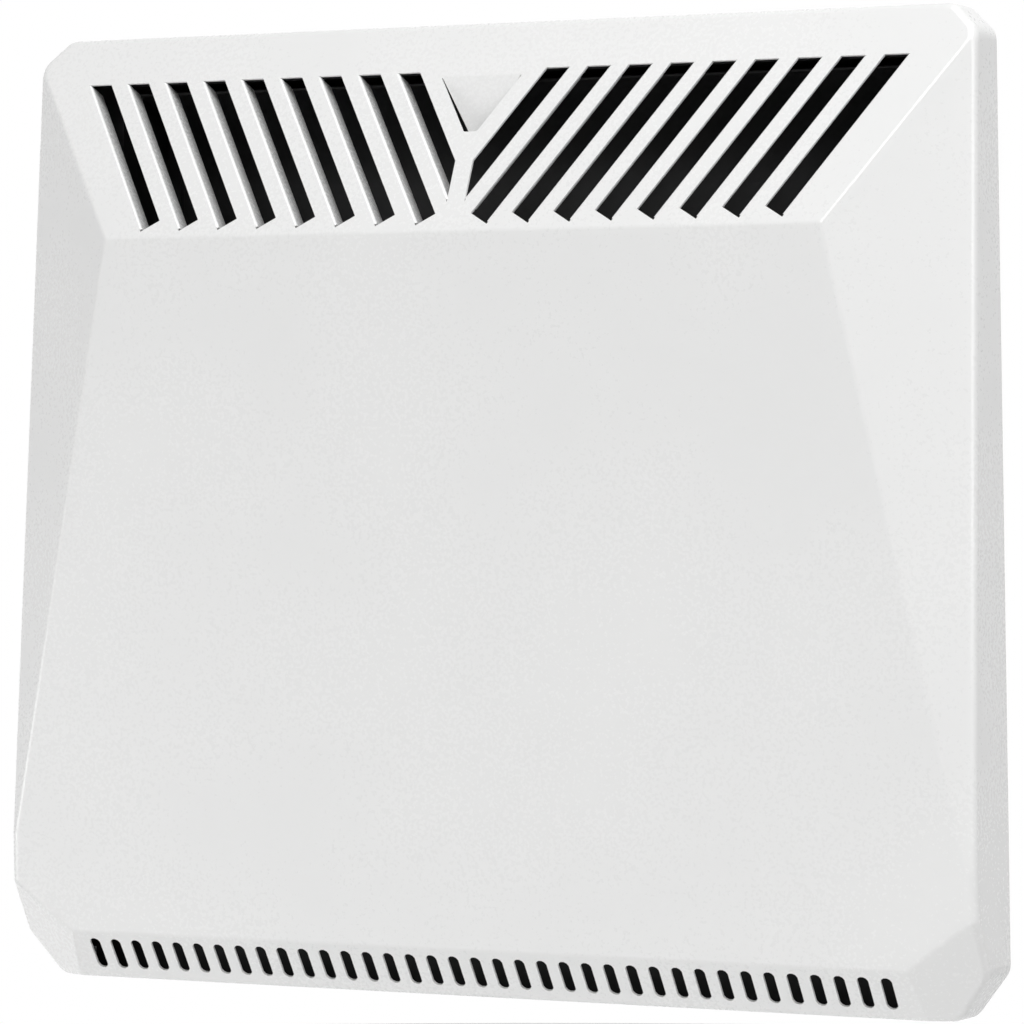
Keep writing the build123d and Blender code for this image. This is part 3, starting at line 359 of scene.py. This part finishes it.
def piece(name, mesh, slot, body, finish=None, stands_for=(), angle=32.0):
    """Object from a bmesh, riding on a body; edges sharper than the angle stay sharp."""
    bmesh.ops.recalc_face_normals(mesh, faces=mesh.faces)
    data = bpy.data.meshes.new(name)
    mesh.to_mesh(data)
    mesh.free()
    for polygon in data.polygons:
        polygon.use_smooth = True
    data.set_sharp_from_angle(angle=radians(angle))
    made = bpy.data.objects.new(name, data)
    bpy.context.scene.collection.objects.link(made)
    data.materials.append(finishes[finish or slot])
    if stands_for:
        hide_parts(*stands_for)
    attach(made, body)


# Places from the frame, in millimetres
def box_mm(node):
    low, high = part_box(node)
    return [round(c / MM, 4) for c in low], [round(c / MM, 4) for c in high]


def centre_mm(node):
    return [(a + b) / 2 for a, b in zip(*box_mm(node))]


def turned(degrees, axis):
    return Matrix.Rotation(radians(degrees), 4, axis)


# The control panel looks along X, and its pieces are laid out across Y
PANEL_WAY = ((1, 0, 0), (0, 1, 0))
panel_x = box_mm("control_panel")[1][0]
panel_y = centre_mm("control_panel")[1]
knob_x = box_mm("thermostat_knob")[0][0]
knob_z = centre_mm("thermostat_knob")[2]

# Screws: indented hexagon heads on a small flange, and a threaded shank
HEX = pi / 3
SCREW_LENGTH = 7.0
HEAD_HEIGHT = 2.0
HEAD_SIDES = 36
FLANGE_RINGS = ((3.15, 0.0), (3.2, 0.15), (3.15, 0.42), (2.85, 0.5))
HEAD_RINGS = ((2.55, 0.4), (2.55, 1.62))
CORNER_RINGS = ((2.55, 1.62), (2.5, 1.85))
CORNER_CUT = 4.53
DIMPLE_RINGS = ((2.5, 1.85), (2.3, HEAD_HEIGHT), (1.75, HEAD_HEIGHT), (1.5, 1.55), (0, 1.5))
SHANK_RADIUS = 1.5
SHANK_SIDES = 16
THREAD_RINGS = 24
THREAD_STEP = 0.25
THREAD_DEPTH = 0.24


def hexagon(radius, height, angle):
    """Distance from the axis to a hexagon whose flats lie at that radius."""
    return radius / cos((angle % HEX) - HEX / 2)


def cut_hexagon(radius, height, angle):
    """Hexagon whose corners are cut by a cone."""
    return min(hexagon(radius, height, angle), CORNER_CUT - height)


def thread(radius, height, angle):
    """Distance from the axis to a thread of 1 mm pitch."""
    turn = (height + angle / tau) % 1.0
    return radius * (1.0 - THREAD_DEPTH * abs(2 * turn - 1))


def screw(mesh, base):
    revolve(mesh, base, FLANGE_RINGS, HEAD_SIDES)
    revolve(mesh, base, HEAD_RINGS, HEAD_SIDES, hexagon)
    revolve(mesh, base, CORNER_RINGS, HEAD_SIDES, cut_hexagon)
    revolve(mesh, base, DIMPLE_RINGS, HEAD_SIDES)
    shank = [(SHANK_RADIUS, -THREAD_STEP * step) for step in range(THREAD_RINGS)]
    revolve(mesh, base, shank, SHANK_SIDES, thread)
    end = shank[-1][1]
    revolve(mesh, base, [
        (1.35, end), (0.9, end - 0.6), (0.25, -SCREW_LENGTH + 0.1), (0, -SCREW_LENGTH),
    ], SHANK_SIDES)


def screw_boxes(node):
    """Corners of each separate screw of a node, from its vertices."""
    mesh = bmesh.new()
    mesh.from_mesh(nodes[node].data)
    bmesh.ops.remove_doubles(mesh, verts=mesh.verts, dist=1e-6)
    left = set(mesh.verts)
    found = []
    while left:
        queue, shell = [left.pop()], []
        while queue:
            vert = queue.pop()
            shell.append(vert.co / MM)
            for edge in vert.link_edges:
                other = edge.other_vert(vert)
                if other in left:
                    left.discard(other)
                    queue.append(other)
        low = Vector([min(co[i] for co in shell) for i in range(3)])
        high = Vector([max(co[i] for co in shell) for i in range(3)])
        found.append((low, high))
    mesh.free()
    return sorted(found, key=lambda pair: tuple(round(c, 2) for c in pair[0]))


def fixings(name, node, out):
    """Screws in the places of a node's own, with their heads on the side that they look to."""
    mesh = bmesh.new()
    along = Vector(out)
    axis = [abs(c) for c in along].index(1)
    for low, high in screw_boxes(node):
        seat = (low + high) / 2
        top = high if along[axis] > 0 else low
        seat[axis] = top[axis] - HEAD_HEIGHT * along[axis]
        screw(mesh, base_at(seat, along, (0, 0, 1)))
    piece(name, mesh, "screw_steel", "heater", stands_for=(node,))


fixings("cover_fixings", "cover_screws", (0, 1, 0))
fixings("inner_fixings", "inner_screws", (0, -1, 0))
fixings("panel_fixings", "panel_screws", (1, 0, 0))

# Thermostat knob: skirt, fluted grip, dished top and an inlaid pointer
KNOB_RINGS = (
    (3.05, 4.0), (9.0, 4.0), (9.0, 0.2), (9.2, 0.0), (12.8, 0.0), (13.0, 0.2), (13.0, 1.3),
    (12.85, 1.6), (12.6, 1.75), (12.55, 2.4), (12.45, 4.5), (12.35, 7.0), (12.25, 9.5),
    (12.2, 11.4), (12.1, 12.0), (11.8, 12.55), (11.3, 12.9), (10.7, 13.0), (10.0, 13.0),
    (9.7, 12.9), (9.5, 12.62), (6.0, 12.5), (0, 12.46),
)
KNOB_SIDES = 132
FLUTES = 22
FLUTE_DEPTH = 0.42
FLUTE_SPAN = (2.0, 11.9)
POINTER_DEGREES = 225
POINTER_HALF = 0.55


def grip(radius, height, angle):
    if FLUTE_SPAN[0] < height < FLUTE_SPAN[1]:
        return radius - FLUTE_DEPTH * (0.5 - 0.5 * cos(FLUTES * angle)) ** 2
    return radius


knob_base = base_at((knob_x, panel_y, knob_z), *PANEL_WAY)
mesh = bmesh.new()
revolve(mesh, knob_base, KNOB_RINGS, KNOB_SIDES, grip)
piece("dial_knob", mesh, "knob_plastic", "knob", stands_for=("thermostat_knob",), angle=40.0)
mesh = bmesh.new()
pointer = knob_base @ turned(POINTER_DEGREES, "Z")
block(mesh, pointer, (3.4, -POINTER_HALF, 12.3), (9.45, POINTER_HALF, 12.85), 0.12)
block(mesh, pointer, (9.9, -POINTER_HALF, 12.9), (11.5, POINTER_HALF, 13.0), 0.04)
piece("dial_pointer", mesh, "knob_plastic", "knob", "print_white")

# Numbers printed round the knob, with a tick halfway between each two
NUMBERS = 6
SWEEP = 270
NUMBER_RADIUS = 14.8
NUMBER_SIZE = 2.9
INK_HEIGHT = 0.03
INK_LIFT = 0.02
TICK_HALF = 0.18
TICK_SPAN = (13.9, 15.5)
TICK_HEIGHT = 0.05
panel_base = base_at((panel_x, panel_y, knob_z), *PANEL_WAY)
mesh = bmesh.new()
for step in range(1, 2 * NUMBERS - 1, 2):
    tick = panel_base @ turned(SWEEP / 2 - SWEEP * step / (2 * NUMBERS - 2), "Z")
    block(mesh, tick, (-TICK_HALF, TICK_SPAN[0], 0.0), (TICK_HALF, TICK_SPAN[1], TICK_HEIGHT))
piece("dial_ticks", mesh, "panel_plastic", "heater", "print_grey")
for number in range(1, NUMBERS + 1):
    angle = radians(-SWEEP / 2 + SWEEP * (number - 1) / (NUMBERS - 1))
    text = bpy.data.curves.new(f"dial_number_{number}", "FONT")
    text.body = str(number)
    text.align_x = "CENTER"
    text.align_y = "CENTER"
    text.size = NUMBER_SIZE * MM
    text.extrude = INK_HEIGHT * MM
    made = bpy.data.objects.new(text.name, text)
    text.materials.append(finishes["print_grey"])
    place = (
        panel_x + INK_LIFT, panel_y + NUMBER_RADIUS * sin(angle), knob_z + NUMBER_RADIUS * cos(angle),
    )
    made.matrix_world = base_at(place, *PANEL_WAY) @ Matrix.Scale(1 / MM, 4)
    bpy.context.scene.collection.objects.link(made)
    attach(made, "heater")

# On and off marks on the two sloping faces of each rocker; its axis lies at that X and that height
ROCKER_X = 196.743
ROCKERS = (("upper_rocker", 76.0), ("lower_rocker", 50.0))
ROCKER_TILT = -9
ROCKER_FACE = 3.8
ROCKER_SLOPE = atan(1.2 / 7.6)
ON_HALF = (0.28, 1.5)
OFF_RADII = (1.55, 1.05)
MARK_HALF = 0.05
for body, rocker_z in ROCKERS:
    pivot = base_at((ROCKER_X, panel_y, rocker_z), *PANEL_WAY) @ turned(ROCKER_TILT, "X")
    on_face, off_face = (
        pivot @ Matrix.Translation((0, way * ROCKER_FACE, ROCKER_FACE))
        @ Matrix.Rotation(way * ROCKER_SLOPE, 4, "X")
        for way in (1, -1)
    )
    mesh = bmesh.new()
    revolve(mesh, off_face, [
        (OFF_RADII[0], -MARK_HALF), (OFF_RADII[0], MARK_HALF), (OFF_RADII[1], MARK_HALF),
        (OFF_RADII[1], -MARK_HALF), (OFF_RADII[0], -MARK_HALF),
    ], 40)
    block(mesh, on_face, (-ON_HALF[0], -ON_HALF[1], -MARK_HALF), (*ON_HALF, MARK_HALF))
    piece(f"{body}_marks", mesh, "rocker_plastic", body, "print_white")

# Pilot lens with a domed front
LENS_RINGS = (
    (0, -12.0), (2.0, -12.0), (2.4, -11.6), (2.4, 0.3), (2.38, 0.5), (2.2, 0.72), (1.9, 0.9),
    (1.4, 1.06), (0.8, 1.16), (0, 1.2),
)
_, lens_y, lens_z = centre_mm("pilot_light")
mesh = bmesh.new()
revolve(mesh, base_at((panel_x, lens_y, lens_z), *PANEL_WAY), LENS_RINGS, 40)
piece("pilot_lens", mesh, "lens", "heater", stands_for=("pilot_light",))

# Ceramic bushes with rounded collars, one at each end of the heating rod
BUSH_LENGTH = 14.0
BUSH_RINGS = (
    (4.4, 0.5), (4.9, 0.0), (11.2, 0.0), (11.8, 0.25), (12.0, 0.8), (12.0, 5.3), (11.8, 5.9),
    (11.4, 6.1), (9.0, 6.1), (9.0, 13.3), (8.8, 13.8), (8.3, BUSH_LENGTH), (5.0, BUSH_LENGTH),
    (4.4, 13.5), (4.4, 0.5),
)
_, rod_y, rod_z = centre_mm("heating_rod")
bush_x = box_mm("element_bushes")[1][0] - BUSH_LENGTH
mesh = bmesh.new()
for side in (-1, 1):
    revolve(mesh, base_at((side * bush_x, rod_y, rod_z), (side, 0, 0), (0, 0, 1)), BUSH_RINGS, 64)
piece("bushes", mesh, "ceramic", "heater", stands_for=("element_bushes",))

# Weld beads that close the joints between the casing's walls and flanges at its four corners
SHEET = 1.0
BEAD_RADIUS = 0.49
BEAD_SIDES = 12
rear_low, rear_high = box_mm("rear_panel")
side_low, side_high = box_mm("casing_left_wall")


def bead(mesh, start, towards, length):
    revolve(mesh, base_at(start, towards, (0, 0, 1)), [
        (0, -0.4), (0.35, -0.3), (BEAD_RADIUS, 0.0), (BEAD_RADIUS, length), (0.35, length + 0.3),
        (0, length + 0.4),
    ], BEAD_SIDES)


mesh = bmesh.new()
for wall, joint_z in (
    ("casing_top_wall", (side_high[2] + rear_high[2] - SHEET) / 2),
    ("casing_bottom_wall", (side_low[2] + rear_low[2] + SHEET) / 2),
):
    flange_x = box_mm(wall)[1][0] - SHEET
    for side in (-1, 1):
        wall_x = side * (rear_high[0] - SHEET / 2)
        start = (wall_x, side_low[1] + SHEET / 2, joint_z)
        bead(mesh, start, (side, 0, 0), flange_x - abs(wall_x))
        bead(mesh, start, (0, 1, 0), side_high[1] - side_low[1] - SHEET)
piece("corner_beads", mesh, "casing_paint", "heater", angle=50.0)

# Clamp screws of the terminal block, each turned its own way
POLE_PITCH = 9.0
CLAMP_RINGS = ((2.3, -0.5), (2.3, 0.25), (2.1, 0.45), (0, 0.45))
block_x, _, block_z = centre_mm("terminal_block")
block_y = box_mm("terminal_block")[0][1]
mesh = bmesh.new()
for pole in (-1, 0, 1):
    clamp = base_at((block_x + POLE_PITCH * pole, block_y, block_z), (0, -1, 0), (1, 0, 0))
    clamp = clamp @ Matrix.Rotation(0.5 + 1.1 * pole, 4, "Z")
    revolve(mesh, clamp, CLAMP_RINGS, 32)
    block(mesh, clamp, (-2.0, 0.25, 0.3), (2.0, 1.5, 0.6), 0.1)
    block(mesh, clamp, (-2.0, -1.5, 0.3), (2.0, -0.25, 0.6), 0.1)
piece("clamp_screws", mesh, "brass", "heater")

# Pale floor that keeps the heater's shadow, and lets the light of the low lamps through
FLOOR_RADIUS = 1.6
FLOOR_LEVEL = -0.40
FLOOR_TONES = (0.80, 0.82)
FLOOR_GLOW = 0.35
mesh = bmesh.new()
bmesh.ops.create_circle(
    mesh, cap_ends=True, segments=128, radius=FLOOR_RADIUS,
    matrix=Matrix.Translation((0, 0, FLOOR_LEVEL)),
)
data = bpy.data.meshes.new("floor")
mesh.to_mesh(data)
mesh.free()
floor = bpy.data.objects.new("floor", data)
bpy.context.scene.collection.objects.link(floor)
ground = bpy.data.materials.new("floor")
ground.use_nodes = True
tree = ground.node_tree
shader = tree.nodes["Principled BSDF"]
place = add(tree, "TexCoord").outputs["Object"]
mottle = add(tree, "TexNoise", {"Vector": place, "Scale": 3.0}).outputs[0]
pale, paler = (rgba([tone] * 3) for tone in FLOOR_TONES)
tree.links.new(colour_mix(tree, mottle, pale, paler), shader.inputs["Base Color"])
shader.inputs["Roughness"].default_value = 0.9
strength = maths(tree, "MULTIPLY", seen_directly(tree), FLOOR_GLOW)
glow = add(tree, "Emission", {"Color": WHITE, "Strength": strength}).outputs[0]
both = add(tree, "AddShader", {0: shader.outputs[0], 1: glow}).outputs[0]
tree.links.new(both, tree.nodes["Material Output"].inputs["Surface"])
data.materials.append(ground)
floor.visible_shadow = False
